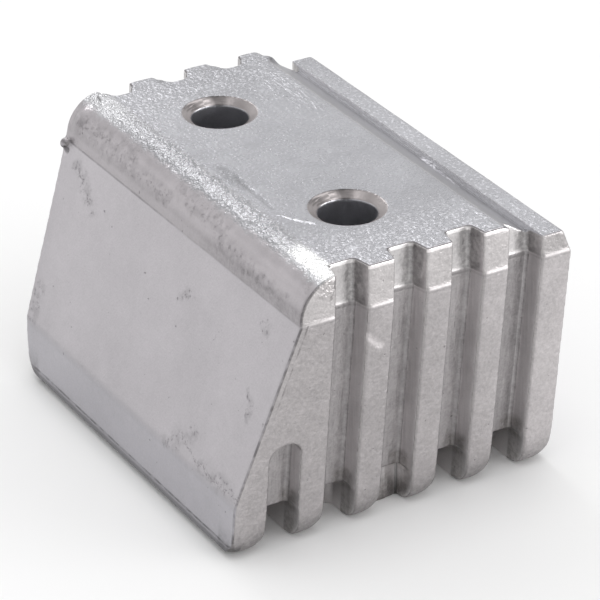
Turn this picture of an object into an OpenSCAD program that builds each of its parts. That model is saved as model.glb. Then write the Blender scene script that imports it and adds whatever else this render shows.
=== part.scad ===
// Sacrificial anode, a finned metal block with two through holes for its bolts.
// One casting: X runs along the line of the holes, the leaning front face is on -Y,
// the raised seating plateau is on top and the block stands on the feet of its fins.

/* [Block] */
// length between the end faces of the fins, at the parting plane
block_length = 73.1; // [66:0.1:90]
// greatest depth, front face to rear flange
block_depth = 57.2; // [54:0.1:70]
// whole height, feet to seating plateau
block_height = 45.7; // [45.4:0.1:60]
// height of the mould's parting plane above the feet
parting_height = 38.7; // [36:0.1:39]
// lean of the end faces below the parting plane, in degrees
end_draft = 5.4; // [2:0.1:7]
// round under the ends, seen from the side
foot_round_r = 3.9; // [2:0.1:5]
// radius of the crown across the underside of each foot
foot_crown_r = 5; // [4.6:0.1:8]
// distance of the crown's middle line from the side of its foot
crown_offset = 2.8; // [2:0.1:3.2]
// ledge left at the parting plane on both ends
parting_step = 0.25; // [0.1:0.05:0.6]

/* [Front face] */
// distance from the hole line to the front face at the parting plane
front_at_parting = 18.5; // [17:0.5:20]
// height at which the leaning front face turns upright
front_crease_height = 10.2; // [7:0.1:14]
// small outward lean that is left below the crease
front_toe = 0.5; // [0.2:0.1:1]
// large round between front face and plateau
front_round_r = 6.6; // [4:0.1:6.8]
// round along the bottom edge of the front face
front_foot_r = 1.8; // [0.8:0.1:3]

/* [Rear flange] */
// height of the flange above the parting plane
flange_rise = 3.55; // [2.5:0.05:4.5]
// thickness of the flange at the parting plane
flange_thickness = 5.2; // [4.6:0.1:6]
// inward lean of the back of the flange above the parting plane
flange_back_lean = 1.45; // [0.8:0.05:1.8]
// depth of the valley beside the flange
valley_depth = 0.8; // [0.4:0.1:1.4]
// distance from the hole line to the rear edge of the plateau
plateau_rear = 16.3; // [14:0.1:17]

/* [Fins and grooves] */
// distance from one fin to the next
fin_pitch = 10; // [9.5:0.1:10.2]
// thickness of a fin at its tip
fin_width = 4.5; // [3.6:0.1:5]
// distance of the middle groove from the hole line
groove_shift = 0.25; // [0:0.05:0.5]
// depth of the grooves in the end faces
groove_depth = 3.3; // [2:0.1:4]
// lean of each groove wall over its depth
groove_wall_lean = 0.6; // [0.2:0.1:0.9]
// round on the upright fin edges below the parting plane
fin_edge_r = 1.1; // [0.6:0.1:1.4]
// height of the open channels under the block
channel_height = 6.3; // [4:0.1:7]
// height of the arch over the short front groove
arch_height = 18.6; // [15:0.1:20]
// depth of the short front groove
arch_groove_depth = 2.7; // [1.5:0.1:3.3]

/* [Bolt holes] */
// distance between the two bolt holes
hole_spacing = 38.1; // [36:0.1:42]
// diameter of the bolt holes
hole_d = 9; // [7:0.1:10]
// diameter of the sunk rim at the plateau
sink_d = 11.9; // [10.6:0.1:14]
// depth of the sunk rim
sink_depth = 0.95; // [0.5:0.05:1.5]
// radius of the round bosses that carry the holes under the block
boss_r = 10.2; // [8:0.1:11]

/* [Cast nub] */
// radius of the cast nub at the far end of the front parting line
nub_r = 0.8; // [0.5:0.1:1.2]

/* [Output] */

/* [Hidden] */
// reach of a cutting body past the faces that it opens
over = 4;
arc_step = 6;
half_length = block_length / 2;
half_depth = block_depth / 2;
upper_half = half_length - parting_step;
flange_inner = half_depth - flange_thickness;
flange_top = parting_height + flange_rise;
front_knee = half_depth - front_toe;
groove_width = fin_pitch - fin_width;
rear_groove_start = groove_shift + 1.5 * fin_pitch + fin_width / 2;
rear_groove_width = flange_inner - rear_groove_start;
foot_x = half_length - parting_height * tan(end_draft);
edge_soft = 0.6;
// middle of the round under the ends, from the middle of the block
toe_mid = foot_x - foot_round_r * tan(45 - end_draft / 2);
// rake of a toe's outline under its foot, and its flare past the end face
toe_rake = 30;
toe_flare = 12;
// leans at which the toe's outline lies against the crown
crown_leans = [12, 24, 36];
// how far the crown is carried on past the side of its foot
crown_past = 0.8;

// Points of an arc in a rounded corner of an outline, from the corner and its neighbours.
function unit(v) = v / norm(v);
function corner(before, here, after, r) =
    let (u = unit(before - here), w = unit(after - here),
         half = acos(u * w) / 2,
         reach = r / tan(half),
         mid = here + unit(u + w) * r / sin(half),
         p = here + u * reach - mid,
         q = here + w * reach - mid,
         turn = 180 - 2 * half,
         sense = (p[0] * q[1] - p[1] * q[0]) > 0 ? 1 : -1,
         n = max(2, ceil(turn / arc_step)))
    [for (i = [0:n]) let (a = sense * turn * i / n)
        mid + [p[0] * cos(a) - p[1] * sin(a), p[0] * sin(a) + p[1] * cos(a)]];

// Outline whose corners are given as [x, y, radius].
function rounded(c) =
    let (n = len(c))
    [for (i = [0:n - 1])
        let (here = [c[i][0], c[i][1]],
             before = [c[(i + n - 1) % n][0], c[(i + n - 1) % n][1]],
             after = [c[(i + 1) % n][0], c[(i + 1) % n][1]])
        each (c[i][2] > 0 ? corner(before, here, after, c[i][2]) : [here])];

// Section across the block: leaning front, plateau, shoulder, valley and flange.
function cross_section() = rounded([
    [-front_at_parting, parting_height, 0],
    [-front_at_parting, block_height, front_round_r],
    [plateau_rear, block_height, 2 * edge_soft],
    [flange_inner - valley_depth / 2, flange_top - valley_depth, edge_soft],
    [flange_inner - valley_depth / 4, flange_top, edge_soft / 3],
    [half_depth - flange_back_lean, flange_top, edge_soft],
    [half_depth, parting_height, 0],
    [half_depth, 0, edge_soft],
    [-half_depth, 0, front_foot_r],
    [-front_knee, front_crease_height, 3 * front_foot_r]]);

// Outline seen from the side: upright above the parting plane, drafted and rounded below.
function side_outline() = rounded([
    [-upper_half, block_height, 0],
    [-upper_half, parting_height, 0],
    [-half_length, parting_height, 0],
    [-foot_x, 0, foot_round_r],
    [foot_x, 0, foot_round_r],
    [half_length, parting_height, 0],
    [upper_half, parting_height, 0],
    [upper_half, block_height, 0]]);

// Outline of the toes of both ends, raked under the foot and flared past the end faces.
function toe_arc(side) =
    [for (a = [-90 - toe_rake : arc_step : -toe_flare])
        [side * (toe_mid + foot_round_r * cos(a)), foot_round_r + foot_round_r * sin(a)]];
function toe_outline() =
    let (fore = toe_arc(1), back = toe_arc(-1), last = len(fore) - 1,
         rise = 3 * foot_round_r, run = rise * tan(toe_flare))
    concat(
        [[0, -toe_mid * tan(toe_rake)]],
        fore,
        [fore[last] + [run, rise], back[last] + [-run, rise]],
        [for (i = [last:-1:0]) back[i]]);

// Plan of one groove, floor at x = 0, open toward +x at the given mouth.
function groove_plan(width, depth, lean, r) = rounded([
    [0, lean - width / 2, edge_soft],
    [depth, -width / 2, r],
    [depth + r, -width / 2 - 3 * r, 0],
    [depth + over, -width / 2 - 3 * r, 0],
    [depth + over, width / 2 + 3 * r, 0],
    [depth + r, width / 2 + 3 * r, 0],
    [depth, width / 2, r],
    [0, width / 2 - lean, edge_soft]]);

function sharp_groove_plan(width, depth, lean) = rounded([
    [0, lean - width / 2, edge_soft],
    [depth + over, -width / 2 - lean * over / depth, 0],
    [depth + over, width / 2 + lean * over / depth, 0],
    [0, width / 2 - lean, edge_soft]]);

module lower_groove(y, width, depth)
    translate([0, y, parting_height])
        rotate([0, end_draft, 0])
            translate([half_length * cos(end_draft) - depth, 0, -parting_height - over])
                linear_extrude(parting_height + 2 * over)
                    polygon(groove_plan(width, depth, groove_wall_lean, fin_edge_r));

module upper_groove(y, width)
    translate([upper_half - groove_depth, y, parting_height])
        linear_extrude(block_height - parting_height + over)
            polygon(sharp_groove_plan(width, groove_depth, groove_wall_lean));

module below_parting()
    translate([-block_length, -block_depth, -over])
        cube([2 * block_length, 2 * block_depth, parting_height + over]);

// Grooves of one end, the rear one a little wider than the others.
module end_grooves() {
    for (k = [-1:1]) {
        y = groove_shift + k * fin_pitch;
        intersection() {
            lower_groove(y, groove_width, groove_depth);
            below_parting();
        }
        upper_groove(y, groove_width);
    }
    rear_y = rear_groove_start + rear_groove_width / 2;
    intersection() {
        lower_groove(rear_y, rear_groove_width, groove_depth);
        below_parting();
    }
    upper_groove(rear_y, rear_groove_width);
    arched_groove(groove_shift - 2 * fin_pitch);
}

// Short groove under the leaning front face, closed by an arch.
module arched_groove(y)
    intersection() {
        lower_groove(y, groove_width, arch_groove_depth);
        translate([0, y, arch_height - groove_width / 2]) rotate([90, 0, 90])
            linear_extrude(block_length)
                union() {
                    circle(d = groove_width, $fn = 48);
                    translate([-groove_width / 2, -block_height])
                        square([groove_width, block_height]);
                }
    }

// What the crown takes off the rear side of a foot, or off its front side for a lean below 0.
module foot_crown(y, lean)
    difference() {
        translate([-block_length, lean > 0 ? y - 1 : y - crown_offset - crown_past, -2 * over])
            cube([2 * block_length, 1 + crown_offset + crown_past, 2 * over + 2 * foot_round_r]);
        translate([0, y, foot_crown_r]) rotate([lean, 0, 0]) translate([0, 0, -foot_crown_r])
            rotate([90, 0, 0]) linear_extrude(4 * foot_crown_r, center = true)
                polygon(toe_outline());
    }

// Open channels between the feet and the crowns of the feet, stopped by the two bosses.
module channels()
    difference() {
        union() {
            for (lean = crown_leans) {
                for (k = [-3:1])
                    foot_crown(groove_shift + (k + 1 / 2) * fin_pitch + fin_width / 2 - crown_offset, lean);
                foot_crown(half_depth - crown_offset, lean);
                foot_crown(crown_offset - half_depth, -lean);
            }
            for (k = [-2:1])
                translate([-block_length, groove_shift + k * fin_pitch - groove_width / 2, -over])
                    cube([2 * block_length, groove_width, channel_height + over]);
            translate([-block_length, rear_groove_start, -over])
                cube([2 * block_length, rear_groove_width, channel_height + over]);
        }
        for (s = [-1, 1])
            translate([s * hole_spacing / 2, 0, -2 * over])
                cylinder(h = channel_height + 3 * over, r = boss_r, $fn = 96);
    }

module bolt_hole()
    union() {
        translate([0, 0, -over]) cylinder(h = block_height + 2 * over, d = hole_d, $fn = 96);
        translate([0, 0, block_height - sink_depth])
            cylinder(h = sink_depth, d1 = hole_d, d2 = sink_d, $fn = 96);
        translate([0, 0, block_height]) cylinder(h = over, d = sink_d, $fn = 96);
    }

module anode_block()
    color("silver")
        difference() {
            union() {
                intersection() {
                    rotate([90, 0, 90]) linear_extrude(2 * block_length, center = true)
                        polygon(cross_section());
                    rotate([90, 0, 0]) linear_extrude(2 * block_depth, center = true)
                        polygon(side_outline());
                }
                translate([nub_r - upper_half,
                           -front_at_parting - 3 * nub_r / 8,
                           parting_height - 4 * nub_r / 5])
                    sphere(r = nub_r, $fn = 24);
            }
            end_grooves();
            mirror([1, 0, 0]) end_grooves();
            channels();
            for (s = [-1, 1]) translate([s * hole_spacing / 2, 0, 0]) bolt_hole();
        }

anode_block();
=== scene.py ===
import math

import bpy
import numpy as np
from mathutils import Matrix, Vector


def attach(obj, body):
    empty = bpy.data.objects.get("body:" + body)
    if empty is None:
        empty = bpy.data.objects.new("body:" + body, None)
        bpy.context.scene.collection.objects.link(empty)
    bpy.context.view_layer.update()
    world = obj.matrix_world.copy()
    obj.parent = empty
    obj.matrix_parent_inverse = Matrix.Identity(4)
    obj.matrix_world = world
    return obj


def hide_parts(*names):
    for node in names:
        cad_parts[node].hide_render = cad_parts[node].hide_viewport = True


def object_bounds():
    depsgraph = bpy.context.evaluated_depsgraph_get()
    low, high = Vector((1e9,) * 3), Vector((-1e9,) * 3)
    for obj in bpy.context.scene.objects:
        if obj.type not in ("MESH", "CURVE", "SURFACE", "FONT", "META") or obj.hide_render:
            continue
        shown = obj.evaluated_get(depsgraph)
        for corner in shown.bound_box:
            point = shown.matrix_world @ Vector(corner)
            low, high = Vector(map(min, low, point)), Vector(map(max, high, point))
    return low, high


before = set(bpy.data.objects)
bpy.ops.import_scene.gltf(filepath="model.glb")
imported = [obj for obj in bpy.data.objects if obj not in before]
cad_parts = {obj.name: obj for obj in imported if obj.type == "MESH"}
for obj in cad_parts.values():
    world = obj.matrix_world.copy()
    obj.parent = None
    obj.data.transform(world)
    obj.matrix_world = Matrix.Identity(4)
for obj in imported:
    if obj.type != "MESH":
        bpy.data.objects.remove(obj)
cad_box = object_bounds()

MM = 0.001

# Faces and holes of the block, in millimetres
PARTING = 38.7
END_AT_PARTING = 36.55
END_SLOPE = 0.0945
GROOVE_DEPTH = 3.3
FIN_FRONT = -7.0
FIN_BACK = -2.5
FIN_PITCH = 10.0
HOLE_X = 19.05
HOLE_R = 4.5
SINK_R = 5.95
SINK_FLOOR = 44.75
FRONT_AT_PARTING = -18.5
FRONT_SLOPE = 0.337
FRONT_FOOT = -28.4
FRONT_CREASE = 10.2
FRONT_ROUND_R = 6.6
FRONT_ROUND_MID = Vector((0, -11.9, 39.1))
PLATEAU_REAR = 16.3
PLATEAU_TOP = 45.7
VALLEY_FLOOR = 41.45
FLANGE_FRONT = 23.4
REAR_FACE = 28.6
CHANNEL_TOP = 6.3
BOSS_CORNER = (28.9, 2.7, 2.8)

# Ways from a hole's axis, level: to the far side of its sink as the photo shows it, and to its left
# The sinks' painted shade faces SINK_BACK, and their painted glints lie between it and SINK_SIDE
SINK_BACK = (-0.866, 0.5, 0.0)
SINK_SIDE = (-0.5, -0.866, 0.0)

# Single marks on the block, each from its start to its end
NUB = Vector((-35.5, -18.8, 38.1))
NUB_PIT = Vector((-35.0, -19.3, 37.4))
DENT = (Vector((36.3, -7.1, 33.9)), Vector((36.1, -4.6, 31.6)))
VALLEY_FLASH = (Vector((5.0, 22.5, 42.0)), Vector((15.8, 21.4, 42.2)))
TOP_SCRATCH = (Vector((16.2, -10.4, PLATEAU_TOP)), Vector((21.1, -6.9, PLATEAU_TOP)))
BAND_CREASE = (Vector((2.4, -9.2, PLATEAU_TOP)), Vector((14.0, -9.9, PLATEAU_TOP)))

# The camera's place: turned from -Y towards +X, raised, and shifted in its own plane
VIEW_AZIMUTH = 59.013
VIEW_ELEVATION = 28.631
VIEW_DISTANCE = 526.2
VIEW_RIGHT = 2.76
VIEW_DOWN = 15.48
LENS = 205.7

# Strength of all the light, and the share of it that the alloy gives back
LIGHT = 1.15
ROOM_STRENGTH = 0.70
METAL_TONE = 0.774

# Softboxes: place in metres, width and height, and power
SOFTBOXES = {
    "key": ((-0.675, 0.09, 0.585), (0.25, 0.25), 0.60),
    "overhead": ((0.1, 0, 1.2), (0.8, 0.8), 2.8),
    "left": ((-0.70, -0.68, 0.2), (0.7, 0.4), 0.45),
    "right": ((0.70, 0.68, 0.2), (0.7, 0.4), 3.1),
    "back": ((-0.75, 0.45, 0.48), (0.5, 0.5), 0.22),
}
LIGHTS_AIM = Vector((0, 0, 0.03))
FLOOR_REACH = 3.0

# The mesh of the casting
VOXEL = 0.2
TRIANGLES = 190000

# Softening: its steps, how far a point moves in one towards the mean of its neighbours,
# and the share of that move at the machined holes and in the later steps at the fins
SOFTEN_STEPS = 7
SOFTEN_MOVE = 0.5
HOLE_SHARE = 0.25
FIN_SHARE = 0.1

# Layers of the skin's relief: height, wavelength, seed and number of waves
BAND_RELIEF = ((0.022, 1.1, 2, 40), (0.035, 1.9, 3, 30), (0.045, 6.0, 9, 20))
WORN_RELIEF = ((0.012, 1.0, 4, 40), (0.02, 2.4, 5, 20))


def mesh_arrays(mesh):
    """Points in millimetres and edges of a mesh."""
    points = np.empty(len(mesh.vertices) * 3)
    mesh.vertices.foreach_get("co", points)
    edges = np.empty(len(mesh.edges) * 2, np.int32)
    mesh.edges.foreach_get("vertices", edges)
    return points.reshape(-1, 3) / MM, edges.reshape(-1, 2)


def neighbour_mean(points, edges, count):
    """Mean of the neighbours of every point of a mesh."""
    a, b = edges[:, 0], edges[:, 1]
    n = len(points)
    total = np.stack(
        [np.bincount(a, points[b, k], n) + np.bincount(b, points[a, k], n) for k in range(3)], 1
    )
    return total / count[:, None]


def smooth_step(value, low, high):
    """0 at low and 1 at high, with a smooth change between."""
    t = np.clip((value - low) / (high - low), 0, 1)
    return t * t * (3 - 2 * t)


def sink_distance(points):
    """Distance of each point from the axis of the nearer bolt hole."""
    return np.hypot(np.abs(points[:, 0]) - HOLE_X, points[:, 1])


def front_line(z):
    """Y of the leaning front face at a height."""
    return np.maximum(FRONT_AT_PARTING - FRONT_SLOPE * np.maximum(PARTING - z, 0), FRONT_FOOT)


def distance_to(points, place):
    return np.linalg.norm(points - np.array(place), axis=1)


def softness(points):
    """Each point's move in the first and in the later steps: least at the holes and the nub."""
    x, y, z = points.T
    machined = smooth_step(sink_distance(points), SINK_R + 0.3, SINK_R + 1.2)
    sharp = machined * smooth_step(distance_to(points, NUB), 1.0, 2.0)
    near_front = smooth_step(y - front_line(z), 5.0, 1.5) * smooth_step(np.abs(x), 30.0, 33.0)
    far_teeth = smooth_step(x, -31.0, -33.5) * smooth_step(z, 42.5, 44.0)
    fins = FIN_SHARE * smooth_step(np.abs(x), 31.5, 32.5) * smooth_step(z, 37.8, 36.8)
    wide = np.maximum(np.maximum(near_front, far_teeth), fins)
    return SOFTEN_MOVE * (HOLE_SHARE + (1 - HOLE_SHARE) * sharp), SOFTEN_MOVE * sharp * wide


def soften(points, edges):
    """Rounds the edges as a casting has them."""
    count = np.bincount(edges.ravel(), minlength=len(points)).astype(float)
    base, wide = softness(points)
    for step in range(SOFTEN_STEPS):
        points += base[:, None] * (neighbour_mean(points, edges, count) - points)
    for step in range(2 * SOFTEN_STEPS):
        points += wide[:, None] * (neighbour_mean(points, edges, count) - points)
    return points


def waves(points, length, seed, count=20):
    """Smooth random relief of about -1 to 1, made of plane waves of one length."""
    chance = np.random.default_rng(seed)
    total = np.zeros(len(points))
    for wave in range(count):
        way = chance.normal(size=3)
        way *= 2 * math.pi / length / np.linalg.norm(way)
        total += np.cos(points @ way + chance.uniform(0, 2 * math.pi))
    return total / math.sqrt(2 * count)


def layered_waves(points, layers):
    return sum(height * waves(points, length, seed, count) for height, length, seed, count in layers)


def near_line(points, mark, width):
    """1 on the line of a mark, falling off over a width."""
    start, along = np.array(mark[0]), np.array(mark[1] - mark[0])
    share = np.clip((points - start) @ along / (along @ along), 0, 1)
    away = np.linalg.norm(points - start - share[:, None] * along, axis=1)
    return np.exp(-((away / width) ** 2))


def notch_rounds(points):
    """Fill of the inner corners of the far end's notches, wide rounds above the parting plane."""
    x, y, z = points.T
    beside_front = np.abs((y - FIN_FRONT + FIN_PITCH / 2) % FIN_PITCH - FIN_PITCH / 2)
    beside_back = np.abs((y - FIN_BACK + FIN_PITCH / 2) % FIN_PITCH - FIN_PITCH / 2)
    from_corner = np.hypot(x + END_AT_PARTING - GROOVE_DEPTH, np.minimum(beside_front, beside_back))
    far = smooth_step(x, -30.5, -31.5) * smooth_step(z, 39.0, 41.0) * smooth_step(y, 22.0, 21.0)
    return 0.55 * far * smooth_step(from_corner, 1.9, 0.0)


def skin_relief(points):
    """Height of the cast skin over the plain shape: slow waves, hammered band and worn ends."""
    x, y, z = points.T
    clear = smooth_step(sink_distance(points), SINK_R + 0.2, SINK_R + 1.0)
    inside = smooth_step(np.abs(x), 36.0, 34.5)
    band = smooth_step(y, -17.0, -15.0) * smooth_step(y, -9.5, -12.0) * smooth_step(z, 41.0, 43.0)
    top = smooth_step(z, PLATEAU_TOP - 0.7, PLATEAU_TOP - 0.2)
    worn_top = top * (smooth_step(x, -20.0, -28.0) + 0.6 * smooth_step(x, 27.0, 31.0))
    height = 0.018 * waves(points, 9.0, 1)
    height += band * layered_waves(points, BAND_RELIEF)
    height += worn_top * layered_waves(points, WORN_RELIEF)
    return height * clear * (0.3 + 0.7 * inside)


def mark_relief(points):
    """Height of the single marks: dent, flash, scratch, crease and the nub with its pit."""
    height = -0.18 * near_line(points, DENT, 0.6)
    height += 0.12 * near_line(points, VALLEY_FLASH, 0.3) * (1 + waves(points, 2.5, 6))
    height += 0.06 * near_line(points, TOP_SCRATCH, 0.3) * (1 + waves(points, 2.0, 7))
    height -= 0.05 * near_line(points, BAND_CREASE, 0.4) * (1 + waves(points, 2.0, 8))
    height += 0.35 * np.exp(-((distance_to(points, NUB) / 0.9) ** 4))
    height -= 0.7 * np.exp(-((distance_to(points, NUB_PIT) / 0.5) ** 2))
    return height


def evaluated_mesh(obj):
    graph = bpy.context.evaluated_depsgraph_get()
    return bpy.data.meshes.new_from_object(obj.evaluated_get(graph))


def remeshed_copy(cad):
    obj = bpy.data.objects.new("casting_source", cad.data.copy())
    bpy.context.scene.collection.objects.link(obj)
    weld = obj.modifiers.new("weld", "WELD")
    weld.merge_threshold = 0.002 * MM
    remesh = obj.modifiers.new("remesh", "REMESH")
    remesh.mode = "VOXEL"
    remesh.voxel_size = 1 * VOXEL * MM
    mesh = evaluated_mesh(obj)
    bpy.data.objects.remove(obj)
    return mesh


def cast_mesh(cad):
    """The solid's mesh with soft edges and the relief of its skin, inside the solid's box."""
    mesh = remeshed_copy(cad)
    points, edges = mesh_arrays(mesh)
    points = soften(points, edges)
    mesh.vertices.foreach_set("co", (points * MM).ravel())
    normals = np.empty(len(points) * 3)
    mesh.vertex_normals.foreach_get("vector", normals)
    height = skin_relief(points) + mark_relief(points) + notch_rounds(points)
    points += height[:, None] * normals.reshape(-1, 3)
    low, high = (np.array(corner) / MM for corner in cad_box)
    mesh.vertices.foreach_set("co", (np.clip(points, low, high) * MM).ravel())
    mesh.update()
    return mesh


def casting(cad):
    """The block with the soft edges of a casting, in place of the plain solid."""
    obj = bpy.data.objects.new("anode_casting", cast_mesh(cad))
    bpy.context.scene.collection.objects.link(obj)
    decimate = obj.modifiers.new("decimate", "DECIMATE")
    decimate.ratio = min(1, TRIANGLES / (2 * len(obj.data.polygons)))
    light = evaluated_mesh(obj)
    obj.modifiers.clear()
    obj.data = light
    light.polygons.foreach_set("use_smooth", [True] * len(light.polygons))
    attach(obj, "root")
    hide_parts(cad.name)
    return obj


class Shade:
    """The nodes of one material, by short names."""

    def __init__(self, name):
        self.material = bpy.data.materials.new(name)
        self.material.use_nodes = True
        self.nodes = self.material.node_tree.nodes
        self.links = self.material.node_tree.links
        self.shader = self.nodes["Principled BSDF"]

    def feed(self, socket, value):
        if isinstance(value, bpy.types.NodeSocket):
            self.links.new(value, socket)
        else:
            socket.default_value = value

    def maths(self, operation, a, b=0.0):
        node = self.nodes.new("ShaderNodeMath")
        node.operation = operation
        self.feed(node.inputs[0], a)
        self.feed(node.inputs[1], b)
        return node.outputs[0]

    def vector(self, operation, a, b=None):
        """Vector maths with a vector b, or with a plain number b to scale by."""
        node = self.nodes.new("ShaderNodeVectorMath")
        node.operation = operation
        self.feed(node.inputs[0], a)
        if operation == "SCALE":
            self.feed(node.inputs["Scale"], b)
        elif b is not None:
            self.feed(node.inputs[1], b)
        return node.outputs["Value" if operation in ("LENGTH", "DOT_PRODUCT") else "Vector"]

    def join(self, x, y, z=0.0):
        node = self.nodes.new("ShaderNodeCombineXYZ")
        for socket, value in zip(node.inputs, (x, y, z)):
            self.feed(socket, value)
        return node.outputs[0]

    def parts(self, vector):
        node = self.nodes.new("ShaderNodeSeparateXYZ")
        self.feed(node.inputs[0], vector)
        return node.outputs[0], node.outputs[1], node.outputs[2]

    def product(self, *values):
        result = values[0]
        for value in values[1:]:
            result = self.maths("MULTIPLY", result, value)
        return result

    def total(self, *values):
        result = values[0]
        for value in values[1:]:
            result = self.maths("ADD", result, value)
        return result

    def highest(self, *values):
        result = values[0]
        for value in values[1:]:
            result = self.maths("MAXIMUM", result, value)
        return result

    def minus(self, a, b):
        return self.maths("SUBTRACT", a, b)

    def rest(self, value):
        return self.minus(1.0, value)

    def step(self, value, low, high):
        """0 at low and 1 at high, with a smooth change between."""
        node = self.nodes.new("ShaderNodeMapRange")
        node.interpolation_type = "SMOOTHSTEP"
        self.feed(node.inputs["Value"], value)
        self.feed(node.inputs["From Min"], low)
        self.feed(node.inputs["From Max"], high)
        return node.outputs["Result"]

    def between(self, value, low, high, soft):
        return self.product(self.step(value, low - soft, low), self.step(value, high + soft, high))

    def mix(self, share, a, b):
        node = self.nodes.new("ShaderNodeMix")
        node.data_type = "RGBA"
        self.feed(node.inputs[0], share)
        self.feed(node.inputs[6], a)
        self.feed(node.inputs[7], (*b, 1))
        return node.outputs[2]

    def noise_node(self, place, scale, detail, roughness):
        node = self.nodes.new("ShaderNodeTexNoise")
        self.feed(node.inputs["Vector"], place)
        node.inputs["Scale"].default_value = scale
        node.inputs["Detail"].default_value = detail
        node.inputs["Roughness"].default_value = roughness
        return node

    def noise(self, place, scale, detail=1.0, roughness=0.5):
        """Noise of about 0.25 to 0.75, with its scale per millimetre."""
        return self.noise_node(place, scale, detail, roughness).outputs["Fac"]

    def stretched(self, place, stretch, scale, detail=2.0):
        return self.noise(self.vector("MULTIPLY", place, stretch), scale, detail, 0.6)

    def wobbled(self, place, scale, amount):
        """A place moved about by noise, for lines and patches with uneven edges."""
        colour = self.noise_node(place, scale, 2.0, 0.6).outputs["Color"]
        shift = self.vector("SUBTRACT", colour, (0.5, 0.5, 0.5))
        return self.vector("ADD", place, self.vector("SCALE", shift, amount))

    def relief(self, noise, height):
        """Noise turned into a height above and below the surface."""
        return self.product(self.minus(noise, 0.5), height)

    def patch(self, place, middle, reach):
        """1 in a soft egg-shaped patch round a place, and 0 outside."""
        away = self.vector("DIVIDE", self.vector("SUBTRACT", place, middle), reach)
        return self.step(self.vector("LENGTH", away), 1.0, 0.55)

    def line(self, place, mark, width):
        """1 on the line of a mark, and 0 beyond its width."""
        start, end = Vector(mark[0]), Vector(mark[1])
        along = end - start
        offset = self.vector("SUBTRACT", place, start)
        share = self.vector("DOT_PRODUCT", offset, along / along.length_squared)
        share = self.maths("MINIMUM", self.maths("MAXIMUM", share, 0.0), 1.0)
        away = self.vector("SUBTRACT", offset, self.vector("SCALE", along, share))
        return self.step(self.vector("LENGTH", away), width, 0.3 * width)


def on_front(x, z):
    """The place on the leaning front face at a length and a height."""
    return (x, max(FRONT_AT_PARTING - FRONT_SLOPE * (PARTING - z), FRONT_FOOT), z)


# Stains and cracks of the front face and its round, each with its start, end and width
FRONT_STAINS = {
    "far top": (on_front(-30.5, 36.2), on_front(-24.0, 32.0), 2.0),
    "far middle": (on_front(-32.0, 15.5), on_front(-31.8, 11.5), 2.4),
    "middle": (on_front(6.0, 30.8), on_front(9.4, 31.7), 1.3),
    "near top": (on_front(27.9, 35.6), on_front(28.8, 35.0), 1.2),
    "near middle": (on_front(29.0, 25.8), on_front(30.5, 22.4), 1.2),
    "low": (on_front(18.8, 14.2), on_front(12.5, 10.4), 2.2),
    "near toe": (on_front(22.6, 11.2), on_front(33.6, 11.4), 1.7),
}
ROUND_STAINS = {
    "far": ((-32.0, -17.4, 42.6), (-16.0, -16.8, 43.5), 2.4),
    "end": ((-35.2, -16.3, 44.0), (-34.0, -16.0, 44.2), 1.1),
    "far low": ((-26.0, -17.9, 41.6), (-4.0, -17.9, 41.8), 1.9),
    "middle": ((-3.0, -16.4, 43.9), (12.0, -17.0, 43.2), 2.2),
    "near": ((12.0, -17.9, 41.8), (31.0, -18.3, 40.6), 1.9),
    "corner": ((33.6, -16.0, 44.2), (35.4, -16.4, 43.8), 1.1),
}
FRONT_CRACKS = {
    "far top": (on_front(-30.4, 36.2), on_front(-24.5, 32.6), 0.28),
    "near toe": (on_front(22.8, 11.1), on_front(33.6, 11.2), 0.24),
    "low": (on_front(17.4, 12.4), on_front(22.9, 11.0), 0.24),
    "near middle": (on_front(29.2, 25.6), on_front(30.5, 22.4), 0.16),
    "streak": (on_front(18.0, 31.0), on_front(16.0, 26.0), 0.14),
}


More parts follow.
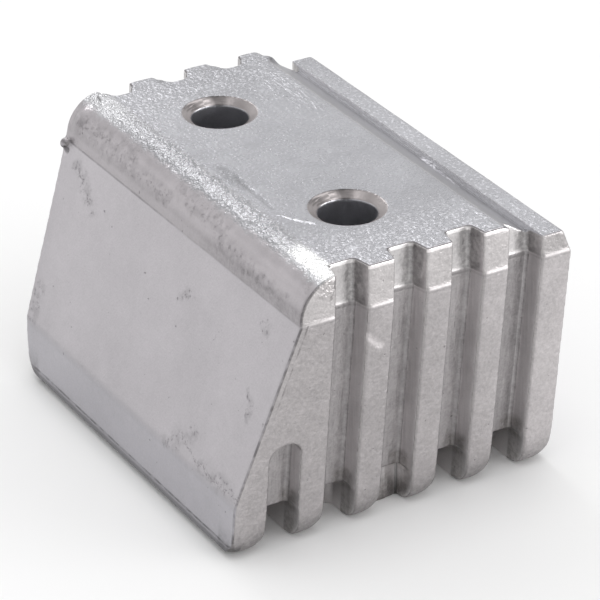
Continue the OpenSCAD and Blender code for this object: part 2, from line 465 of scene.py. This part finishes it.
class CastSurface(Shade):
    """The kinds of surface, the marks of the casting and the places of painted light and shade, each as a
    share from 0 to 1.
    """

    def __init__(self, name):
        super().__init__(name)
        source = self.nodes.new("ShaderNodeTexCoord")
        self.place = self.vector("SCALE", source.outputs["Object"], 1 / MM)
        self.x, self.y, self.z = self.parts(self.place)
        _, self.ny, self.nz = self.parts(source.outputs["Normal"])
        self.measure()
        self.make_grains()
        self.find_faces()
        self.find_ends()
        self.find_groove_shades()
        self.find_holes()
        self.find_seams()
        self.find_wear()
        self.find_stains()

    def measure(self):
        """Distances in millimetres from the faces, holes and grooves of the block."""
        drop = self.maths("MAXIMUM", self.minus(PARTING, self.z), 0.0)
        tip = self.minus(END_AT_PARTING, self.product(drop, END_SLOPE))
        self.depth = self.minus(tip, self.maths("ABSOLUTE", self.x))
        front_y = self.minus(FRONT_AT_PARTING, self.product(drop, FRONT_SLOPE))
        self.front_gap = self.minus(self.y, self.maths("MAXIMUM", front_y, FRONT_FOOT))
        self.across = self.minus(self.x, self.product(self.maths("SIGN", self.x), HOLE_X))
        self.from_hole = self.join(self.across, self.y)
        self.hole_r = self.vector("LENGTH", self.from_hole)
        from_round = self.vector("SUBTRACT", self.place, FRONT_ROUND_MID)
        self.round_r = self.vector("LENGTH", self.vector("MULTIPLY", from_round, (0, 1, 1)))
        self.mirrored = self.join(self.maths("ABSOLUTE", self.x), self.y, self.z)
        beside_fin = self.maths("PINGPONG", self.minus(self.y, FIN_FRONT), FIN_PITCH / 2)
        self.corner = self.vector("LENGTH", self.join(beside_fin, self.minus(self.depth, GROOVE_DEPTH)))

    def make_grains(self):
        """Noises that the surfaces share, from fine grain to broad clouds."""
        self.fine = self.noise(self.place, 3.0)
        self.glint = self.noise(self.place, 1.8, 2.0)
        self.leather = self.noise(self.place, 1.45, 2.0)
        self.cloud = self.noise(self.place, 0.35, 4.0, 0.6)
        self.broad = self.noise(self.place, 0.07, 2.0)
        self.drawn = self.stretched(self.place, (2.2, 2.2, 0.10), 1.0)
        self.patchy = self.step(self.noise(self.place, 0.45, 2.0, 0.6), 0.36, 0.62)
        self.mottle = self.step(self.noise(self.place, 1.3, 3.0, 0.65), 0.36, 0.64)

    def mottled(self, base, spread):
        """Uneven strength of a mark, from base where it is thin to base + spread."""
        return self.total(base, self.product(self.mottle, spread))

    def find_faces(self):
        """Front, round, band, top, shoulder, valley and flange."""
        self.above = self.step(self.z, PARTING - 0.1, PARTING + 0.1)
        self.front = self.product(self.step(self.front_gap, 1.1, 0.8), self.step(self.ny, -0.5, -0.75))
        self.front_round = self.product(
            self.above, self.step(self.y, -11.0, -14.0), self.step(self.depth, 0.1, 0.5),
            self.step(self.round_r, FRONT_ROUND_R - 0.4, FRONT_ROUND_R - 0.2)
        )
        rear = self.step(self.y, REAR_FACE - 3.1, REAR_FACE - 2.6)
        back = self.product(rear, self.step(self.ny, 0.5, 0.75))
        self.ends = self.product(
            self.step(self.depth, GROOVE_DEPTH + 1.2, GROOVE_DEPTH + 0.6), self.rest(back),
            self.rest(self.front), self.rest(self.front_round), self.step(self.nz, 0.7, 0.45)
        )
        wavy_y = self.total(self.y, self.relief(self.cloud, 2.4))
        self.shoulder = self.product(
            self.step(wavy_y, PLATEAU_REAR + 0.4, PLATEAU_REAR + 0.7),
            self.step(self.y, FLANGE_FRONT + 0.3, FLANGE_FRONT - 0.1), self.above, self.rest(self.ends)
        )
        self.top = self.product(
            self.step(self.nz, 0.88, 0.97), self.rest(self.shoulder),
            self.step(self.z, VALLEY_FLOOR - 0.15, VALLEY_FLOOR + 0.35)
        )
        self.flange = self.step(self.y, FLANGE_FRONT - 0.1, FLANGE_FRONT + 0.2)
        ragged_y = self.total(self.y, self.relief(self.cloud, 1.6), self.relief(self.glint, 1.6))
        self.band = self.product(self.between(ragged_y, -14.8, -12.4, 1.1), self.step(self.z, 41.5, 43.0))
        valley = self.product(self.shoulder, self.step(self.y, 21.4, 22.0))
        # Painted shade at the foot of the shoulder by the flange
        self.valley_foot = self.product(valley, self.between(self.ny, -0.45, -0.05, 0.12))
        # Painted shade on the shoulder next to the top
        self.shoulder_top = self.product(self.shoulder, self.step(self.y, 20.0, 18.0))

    def find_ends(self):
        """Fins, grooves, ledge and rims of the finned ends, and the channels under them, with painted shade
        on the fins' rounded edges and the ledge, and a painted highlight on the rims.
        """
        sideways = self.step(self.maths("ABSOLUTE", self.ny), 0.87, 0.96)
        self.walls = self.product(self.ends, sideways)
        self.tips = self.product(self.ends, self.rest(sideways))
        # Painted shade on the rounded front edges of the fins
        self.fin_fronts = self.product(self.ends, self.between(self.ny, -0.88, -0.5, 0.15))
        self.grooves = self.product(self.ends, self.step(self.depth, 0.9, 1.7))
        self.upper = self.product(self.ends, self.above)
        self.upper_walls = self.product(self.walls, self.step(self.z, PARTING - 1.0, PARTING + 5.0))
        self.ledge = self.product(self.ends, self.between(self.z, PARTING - 0.45, PARTING + 0.35, 0.15))
        line = self.between(self.z, PARTING - 0.12, PARTING + 0.08, 0.1)
        # Painted shade on the ledge beside its middle line
        self.ledge_sides = self.product(self.ledge, self.rest(line))
        # Painted shade on the rounded back edges of the fins
        self.fin_backs = self.product(self.ends, self.between(self.ny, 0.5, 0.85, 0.15))
        # Painted highlight on the rounded top edges of the fins and grooves, which are also smoother
        self.rims = self.product(
            self.step(self.z, PLATEAU_TOP - 0.85, PLATEAU_TOP - 0.65),
            self.step(self.depth, GROOVE_DEPTH + 1.3, GROOVE_DEPTH + 0.9),
            self.step(self.nz, 0.65, 0.4), self.rest(self.walls)
        )
        self.channels = self.product(
            self.step(self.depth, GROOVE_DEPTH + 0.3, GROOVE_DEPTH + 1.1),
            self.step(self.z, CHANNEL_TOP + 1.7, CHANNEL_TOP + 0.7),
            self.step(self.front_gap, 0.9, 1.1), self.step(self.y, REAR_FACE - 0.4, REAR_FACE - 0.6)
        )
        # The ends darker towards the bottom, unevenly
        self.ends_darker_low = self.product(
            self.step(self.z, 6.5, 1.5), self.step(self.depth, GROOVE_DEPTH + 1.1, GROOVE_DEPTH + 0.5),
            self.mottled(0.6, 0.6)
        )

    def find_groove_shades(self):
        """Painted shade along the inner corners of the grooves, on the rear groove floors, at the boss edges
        and at the foot of the grooves, and a painted highlight on the lower corner lines.
        """
        inner = self.product(self.ends, self.step(self.depth, 0.3, 1.2))
        spread = self.total(self.corner, self.relief(self.cloud, 2.0))
        # Painted shade in the upper inner corners
        self.upper_corner = self.product(
            inner, self.above, self.step(self.y, -12.0, -10.0), self.step(spread, 3.0, 1.4),
            self.mottled(0.7, 0.5)
        )
        below = self.product(self.ends, self.rest(self.above), self.step(self.depth, 1.8, 2.4))
        # Painted shade in the lower inner corners
        self.lower_corner = self.product(below, self.tips, self.step(spread, 2.6, 0.4))
        turning = self.between(self.maths("ABSOLUTE", self.ny), 0.3, 0.88, 0.12)
        # Painted highlight: a thin light line along the lower inner corners
        self.corner_line = self.product(
            below, turning, self.step(self.corner, 1.0, 0.6), self.step(self.z, 5.0, 9.0),
            self.mottled(0.5, 0.5)
        )
        # Painted shade on the floors of the rear grooves
        self.rear_floor = self.product(below, self.tips, self.step(self.y, 15.0, 18.0))
        # Painted shade in the inner rounds above the parting
        self.inner_round = self.product(self.upper, self.step(self.corner, 1.2, 0.3))
        # Painted shade over the rounded edges of the bosses
        turning = self.between(self.ny, -0.85, -0.1, 0.12)
        boss_corner = self.patch(self.mirrored, BOSS_CORNER, (1.2, 1.2, 6.5))
        self.boss_edge = self.product(turning, boss_corner)
        # Painted shade at the foot of the grooves, by the channel openings
        self.groove_foot = self.product(
            inner, self.between(self.z, CHANNEL_TOP - 0.8, CHANNEL_TOP + 1.9, 1.4),
            self.step(spread, 3.2, 1.2), self.mottled(0.5, 0.5)
        )

    def find_holes(self):
        """The turned sinks, streaked and with painted shade at the back and painted glints towards the side,
        and the bores.
        """
        self.sink = self.product(
            self.step(self.hole_r, SINK_R + 0.1, SINK_R),
            self.step(self.z, SINK_FLOOR - 0.35, SINK_FLOOR - 0.05)
        )
        self.bore = self.product(
            self.step(self.hole_r, HOLE_R + 0.4, HOLE_R + 0.2),
            self.step(self.z, SINK_FLOOR + 0.05, SINK_FLOOR - 0.05)
        )
        around = self.vector("NORMALIZE", self.from_hole)
        behind = self.vector("DOT_PRODUCT", around, SINK_BACK)
        beside = self.vector("DOT_PRODUCT", around, SINK_SIDE)
        polar = self.join(self.maths("ARCTAN2", self.y, self.across), self.product(self.hole_r, 1.7))
        rings = self.noise(polar, 1.6, 2.0)
        streaks = self.stretched(polar, (1.6, 0.25, 1.0), 0.9)
        self.sink_streaks = self.total(self.product(rings, 0.45), self.product(streaks, 0.55))
        turned = self.maths("ARCTAN2", beside, behind)
        # Painted glints in arcs of the sinks
        self.sink_bright = self.product(self.between(turned, 0.42, 0.95, 0.2), self.step(rings, 0.42, 0.56))
        # Painted shade over the back of the sinks
        self.sink_back_shade = self.step(behind, 0.1, 0.9)
        # Painted shade in a blotch at the back of the sinks, and darker ring streaks towards the side
        blotch = self.between(self.total(turned, self.relief(streaks, 0.8)), 0.0, 0.12, 0.34)
        blotch = self.product(blotch, self.total(0.5, self.product(rings, 0.9)))
        brown = self.product(self.between(turned, 0.9, 1.25, 0.2), self.step(rings, 0.6, 0.45), 0.5)
        self.sink_dark = self.highest(blotch, brown)
        # Painted shade in a thin ring at the sinks' rims
        self.sink_rim = self.between(self.hole_r, SINK_R - 0.15, SINK_R + 0.1, 0.1)

    def find_seams(self):
        """Lines of the mould, of the front face's edges and of the foot, with painted shadow under the ledge
        and painted shade on the top edges, the front's crease and its bottom edge.
        """
        near_corner = self.step(self.depth, 1.1, 0.8)
        below = self.rest(self.above)
        edge_gap = self.minus(self.front_gap, self.depth)
        front_edge = self.product(
            self.between(edge_gap, -0.2, 0.12, 0.2), near_corner, below,
            self.total(0.45, self.product(self.patchy, 0.8))
        )
        round_gap = self.minus(self.minus(FRONT_ROUND_R + 0.25, self.round_r), self.depth)
        round_edge = self.product(
            self.between(round_gap, -0.12, 0.25, 0.18), near_corner, self.above,
            self.step(self.y, -12.5, -13.0), self.mottled(0.7, 0.5)
        )
        face_line = self.product(
            self.between(self.front_gap, 1.1, 1.25, 0.12), self.ends, self.step(self.z, 20.0, 30.0),
            below, self.patchy, 0.7
        )
        part_line = self.product(
            self.between(self.z, PARTING - 0.1, PARTING + 0.1, 0.16), self.step(self.front_gap, 0.9, 0.6),
            self.total(0.10, self.product(self.patchy, 0.2), self.product(self.step(self.x, 4.0, -12.0), 0.4))
        )
        foot_line = self.product(
            self.between(self.z, 2.4, 2.6, 0.2), self.front, self.total(0.4, self.patchy), 0.8
        )
        # Painted shadow under the ledge at the parting
        under_ledge = self.product(
            self.between(self.z, PARTING - 0.75, PARTING - 0.55, 0.12), self.grooves, self.tips, 0.35
        )
        # Painted shade on the rounded top edges of the ends
        top_edge = self.product(
            self.step(self.z, PLATEAU_TOP - 0.4, PLATEAU_TOP - 0.2),
            self.step(self.depth, GROOVE_DEPTH + 1.3, GROOVE_DEPTH + 0.9),
            self.between(self.nz, 0.5, 0.8, 0.15)
        )
        # Mould lines together with the painted shadow and shade of the edges
        self.seams_and_edge_shade = self.highest(
            front_edge, round_edge, face_line, part_line, foot_line, under_ledge, top_edge
        )
        # Painted shade along the crease of the front
        crease = self.between(self.z, FRONT_CREASE - 0.6, FRONT_CREASE + 0.1, 0.7)
        self.crease = self.product(self.front, crease)
        low = self.step(self.z, FRONT_CREASE + 0.8, FRONT_CREASE - 1.2)
        self.front_low = self.product(self.front, low)
        # Painted shade along the bottom edge of the front
        self.front_edge_low = self.product(self.step(self.z, 2.8, 1.6), self.step(self.front_gap, 2.0, 1.6))

    def find_wear(self):
        """Where the top is rubbed, scratched and smeared, with the dent's painted highlight, the flash's
        painted glints and the nub's painted shade.
        """
        far_worn = self.step(self.x, -16.0, -32.0)
        self.near_worn = self.step(self.x, 20.0, 31.0)
        self.worn = self.total(far_worn, self.near_worn)
        self.near_flange = self.product(self.flange, self.step(self.x, -34.0, -12.0))
        strokes = self.step(self.stretched(self.place, (0.4, 2.6, 1.0), 1.0), 0.52, 0.62)
        rubbed = self.patch(self.place, (-20.0, 13.4, PLATEAU_TOP), (11.0, 3.2, 2.0))
        wobbled = self.wobbled(self.place, 0.5, 1.2)
        self.dashes = self.product(self.line(wobbled, TOP_SCRATCH, 0.45), self.step(self.cloud, 0.46, 0.50))
        self.scratched = self.highest(self.product(rubbed, strokes), self.dashes)
        smear = self.patch(self.place, (2.0, -9.9, PLATEAU_TOP), (6.0, 1.6, 2.0))
        self.smear = self.product(smear, self.mottled(0.5, 0.6))
        self.band_crease = self.line(wobbled, BAND_CREASE, 0.7)
        # Painted highlight on the dent
        self.dent = self.line(self.place, DENT, 1.0)
        # The flash of the valley, lighter metal with painted glints
        flash = self.line(wobbled, VALLEY_FLASH, 0.9)
        self.valley_flash = self.product(flash, self.step(self.glint, 0.40, 0.52))
        # Painted shade on the nub and, darker, in the pit under it
        self.nub = self.patch(self.place, NUB, (1.6, 1.5, 1.5))
        self.nub_pit = self.patch(self.place, NUB_PIT, (1.1, 1.0, 0.9))

    def find_stains(self):
        """Pits, cracks and grey stains of the front face and its round, and painted light and shade across
        the round.
        """
        wobbled = self.wobbled(self.place, 0.45, 4.0)
        marks = (*FRONT_STAINS.values(), *ROUND_STAINS.values())
        stained = self.highest(*(self.line(wobbled, (start, end), width) for start, end, width in marks))
        stained = self.product(stained, self.highest(self.front, self.front_round))
        wobbled = self.wobbled(self.place, 0.9, 2.4)
        cracked = self.highest(
            *(self.line(wobbled, (start, end), width) for start, end, width in FRONT_CRACKS.values())
        )
        spots = self.step(self.noise(self.place, 1.5, 3.0, 0.65), 0.52, 0.68)
        spots = self.product(spots, self.rest(self.product(self.front_round, 0.35)))
        self.smudge = self.product(stained, self.step(self.noise(self.place, 0.6, 3.0, 0.6), 0.38, 0.62))
        holes = self.step(self.noise(self.place, 0.95), 0.765, 0.80)
        machined = self.highest(self.top, self.sink, self.bore)
        self.pits = self.highest(
            self.product(stained, spots), self.product(cracked, self.front, self.step(self.fine, 0.38, 0.52)),
            self.product(holes, self.rest(machined))
        )
        # Painted highlight high on the round, and painted shade across its middle
        self.round_high = self.product(self.front_round, self.between(self.z, 43.7, 44.9, 0.9))
        self.round_middle = self.product(self.front_round, self.between(self.z, 40.8, 42.6, 0.9))
        self.low_stain = self.product(
            self.front_round, self.between(self.z, 39.1, 40.4, 0.9), self.step(self.x, 2.0, 12.0),
            self.mottled(0.4, 0.6)
        )

    def colours(self):
        """Kinds of surface and their colours, each laid over those before it."""
        # Painted highlight: the near end of the band coloured lighter than white, as a blown-out highlight
        band_painted_highlight = self.product(self.band, self.step(self.x, 24.0, 30.0), self.step(self.y, -15.0, -14.0))
        # Groove bottoms coloured darker and browner: painted shade at the foot of the grooves, and the ends
        # darker towards the bottom
        groove_bottom_dark = self.highest(self.groove_foot, self.product(self.ends_darker_low, self.grooves))
        return (
            (self.top, (0.53, 0.53, 0.56)),
            (self.front_low, (0.58, 0.565, 0.60)),
            (self.front_round, (0.55, 0.52, 0.54)),
            (self.band, (0.44, 0.44, 0.46)),
            # The band lighter at its worn ends: worn metal and painted highlight
            (self.product(self.band, self.worn), (0.68, 0.68, 0.70)),
            (band_painted_highlight, (1.15, 1.15, 1.15)),
            (self.shoulder, (0.455, 0.45, 0.48)),
            (self.ends, (0.60, 0.57, 0.575)),
            (self.grooves, (0.53, 0.505, 0.51)),
            # Painted light: the ends above the parting, and their groove floors still more, coloured lighter
            # than below it
            (self.upper, (0.69, 0.66, 0.66)),
            (self.product(self.upper, self.grooves), (0.80, 0.775, 0.775)),
            # Painted light: the side walls of the fins, which face away from the light, coloured lighter than
            # the tips
            (self.walls, (0.92, 0.895, 0.90)),
            (self.upper_walls, (0.82, 0.795, 0.80)),
            (self.sink, (0.52, 0.48, 0.48)),
            # Painted light in the bores and in the channels under the fins, which are coloured lighter
            (self.bore, (0.76, 0.76, 0.80)),
            (self.channels, (0.95, 0.92, 0.92)),
            (self.product(groove_bottom_dark, 0.4), (0.50, 0.46, 0.43)),
        )

    def colour(self):
        """The front's satin, with the other kinds of surface laid over it."""
        colour = (0.59, 0.565, 0.59, 1)
        for share, kind in self.colours():
            colour = self.mix(share, colour, kind)
        return colour

    def grain_tone(self):
        """Lighter and darker grain of the skin, and painted glints on the top."""
        worn = self.product(self.worn, self.rest(self.flange))
        glints = self.total(0.06, self.product(worn, 0.42), self.product(self.near_flange, 0.34))
        slow = self.total(self.relief(self.cloud, 0.28), self.relief(self.broad, 0.34))
        slow = self.product(slow, self.rest(self.product(self.front, 0.45)))
        leather = self.total(self.relief(self.leather, 0.34), self.relief(self.fine, 0.2))
        quick = self.total(
            self.relief(self.fine, 0.12), self.product(self.front, self.relief(self.glint, 0.10)),
            self.product(self.tips, leather)
        )
        groove = self.product(self.grooves, self.rest(self.upper), self.relief(self.drawn, 0.40))
        wall = self.product(self.upper_walls, self.relief(self.leather, 0.7))
        # Painted glints: lighter specks on the top, most at the worn ends and on the flange
        top = self.product(self.top, self.step(self.glint, 0.53, 0.64), glints)
        return self.total(1.0, slow, quick, groove, wall, top)

    def bright_tone(self):
        """Places that are lighter than the rest: worn, scratched and turned metal and the flash, and painted
        light and highlights on the rear fins, rims, dent, round, corner lines and sinks.
        """
        raised = self.total(self.product(self.near_worn, 1.6), self.near_flange, -0.2)
        raised = self.product(self.top, raised, 0.10)
        # Painted light: the fin tips lighter towards the rear and darker towards the front
        rear_end = self.product(self.tips, self.minus(self.step(self.y, 10.0, 25.0), 0.15), 0.14)
        sink = self.product(self.sink, self.relief(self.sink_streaks, 0.6))
        # Painted glints on the sinks
        sink_glints = self.product(self.sink, self.sink_bright, 0.85)
        return self.total(
            1.0, raised, rear_end, sink, sink_glints, self.product(self.scratched, 0.45),
            self.product(self.dashes, 0.6), self.product(self.rims, 0.7),
            self.product(self.dent, 0.45), self.product(self.round_high, 0.16),
            self.product(self.valley_flash, 1.3), self.product(self.corner_line, 0.5)
        )

    def losses(self):
        """Places that are darker than the rest, with the share of light that each takes away."""
        return (
            (self.pits, 0.30), (self.smudge, 0.16), (self.low_stain, 0.22), (self.smear, 0.24),
            (self.round_middle, 0.10), (self.ledge_sides, 0.12), (self.fin_fronts, 0.14),
            (self.inner_round, 0.15), (self.boss_edge, 0.62), (self.sink_rim, 0.12), (self.valley_foot, 0.46),
            (self.shoulder_top, 0.14), (self.rear_floor, 0.16),
            (self.band_crease, 0.15), (self.seams_and_edge_shade, 0.45), (self.crease, 0.05), (self.ends_darker_low, 0.30),
            (self.nub, 0.20), (self.nub_pit, 0.5), (self.front_edge_low, 0.52),
            (self.upper_corner, 0.40), (self.lower_corner, 0.30), (self.groove_foot, 0.30),
            (self.fin_backs, 0.30), (self.product(self.upper, self.flange), 0.22),
            (self.product(self.sink, self.sink_back_shade), 0.14), (self.product(self.sink, self.sink_dark), 0.7),
        )

    def shaded_colour(self):
        """The colours, changed by the grain, made lighter at the bright places and painted highlights, and
        darker by each loss and painted shade.
        """
        tone = self.product(self.grain_tone(), self.bright_tone(), METAL_TONE)
        for share, loss in self.losses():
            tone = self.product(tone, self.rest(self.product(share, loss)))
        return self.vector("SCALE", self.colour(), tone)

    def roughness(self):
        return self.total(
            0.36, self.relief(self.cloud, 0.12), self.product(self.top, -0.09), self.product(self.ends, 0.03),
            self.product(self.band, -0.05), self.product(self.pits, 0.2), self.product(self.scratched, -0.12),
            self.product(self.rims, -0.1)
        )

    def height(self):
        """Fine relief in millimetres, too small for the mesh."""
        lively = self.product(
            self.highest(self.top, self.band), self.total(0.7, self.product(self.worn, 0.6)),
            self.total(1.0, self.product(self.band, 0.8))
        )
        sparkle = self.total(self.relief(self.glint, 0.15), self.relief(self.fine, 0.05))
        sparkle = self.product(lively, sparkle)
        calm = self.rest(self.highest(self.ledge, self.walls, self.rims))
        leather = self.product(self.tips, calm, self.relief(self.leather, 0.14))
        leather = self.product(leather, self.rest(self.product(self.grooves, 0.45)))
        return self.total(
            sparkle, leather, self.product(self.relief(self.fine, 0.025), self.rest(lively), calm),
            self.product(self.relief(self.drawn, 0.05), self.grooves, self.rest(self.upper)),
            self.product(self.scratched, 0.05),
            self.product(self.pits, -0.04), self.product(self.seams_and_edge_shade, -0.06)
        )


def cast_metal():
    """Cast alloy: sparkling top, stained front round, satin front, grainy ends, turned sinks, with painted
    light, shade and highlights.
    """
    surface = CastSurface("cast_alloy")
    sockets = surface.shader.inputs
    sockets["Metallic"].default_value = 1
    surface.feed(sockets["Base Color"], surface.shaded_colour())
    surface.feed(sockets["Roughness"], surface.roughness())
    bump = surface.nodes.new("ShaderNodeBump")
    bump.inputs["Distance"].default_value = MM
    surface.feed(bump.inputs["Height"], surface.height())
    surface.feed(sockets["Normal"], bump.outputs["Normal"])
    return surface.material


def view_back():
    """Unit vector from the block towards the camera."""
    azimuth, elevation = math.radians(VIEW_AZIMUTH), math.radians(VIEW_ELEVATION)
    level = math.cos(elevation)
    return Vector((math.sin(azimuth) * level, -math.cos(azimuth) * level, math.sin(elevation)))


def camera():
    """The photo's view of the block."""
    back = view_back()
    azimuth = math.radians(VIEW_AZIMUTH)
    right = Vector((math.cos(azimuth), math.sin(azimuth), 0))
    up = back.cross(right)
    data = bpy.data.cameras.new("camera")
    data.lens = LENS
    data.sensor_width = 36
    obj = bpy.data.objects.new("camera", data)
    bpy.context.scene.collection.objects.link(obj)
    place = Vector((0, 0, PARTING)) + right * VIEW_RIGHT - up * VIEW_DOWN + back * VIEW_DISTANCE
    turn = Matrix((right, up, back)).transposed().to_4x4()
    obj.matrix_world = Matrix.Translation(place * MM) @ turn
    bpy.context.scene.camera = obj


def softbox(name, place, size, power):
    """A wide light at a place in metres, turned to the middle of the block."""
    data = bpy.data.lights.new(name, "AREA")
    data.shape = "RECTANGLE"
    data.size, data.size_y = size
    data.energy = LIGHT * power
    obj = bpy.data.objects.new(name, data)
    bpy.context.scene.collection.objects.link(obj)
    obj.location = place
    obj.rotation_mode = "QUATERNION"
    obj.rotation_quaternion = (LIGHTS_AIM - Vector(place)).to_track_quat("-Z", "Y")


def room():
    world = bpy.data.worlds.new("studio")
    world.use_nodes = True
    background = world.node_tree.nodes["Background"]
    background.inputs["Color"].default_value = (1, 1, 1, 1)
    background.inputs["Strength"].default_value = LIGHT * ROOM_STRENGTH
    bpy.context.scene.world = world


def floor():
    mesh = bpy.data.meshes.new("floor")
    corners = [(x * FLOOR_REACH, y * FLOOR_REACH, 0) for x, y in ((-1, -1), (1, -1), (1, 1), (-1, 1))]
    mesh.from_pydata(corners, [], [(0, 1, 2, 3)])
    obj = bpy.data.objects.new("floor", mesh)
    bpy.context.scene.collection.objects.link(obj)
    material = bpy.data.materials.new("floor")
    material.use_nodes = True
    shader = material.node_tree.nodes["Principled BSDF"]
    shader.inputs["Base Color"].default_value = (0.9, 0.9, 0.9, 1)
    shader.inputs["Roughness"].default_value = 0.8
    mesh.materials.append(material)


def studio():
    """An even pale room, a key light on the front round and four wide softboxes that even it out."""
    room()
    floor()
    for name, (place, size, power) in SOFTBOXES.items():
        softbox(name, place, size, power)
    bpy.context.scene.view_settings.view_transform = "Standard"


def main():
    block = casting(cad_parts["anode_block"])
    block.data.materials.clear()
    block.data.materials.append(cast_metal())
    camera()
    studio()


main()
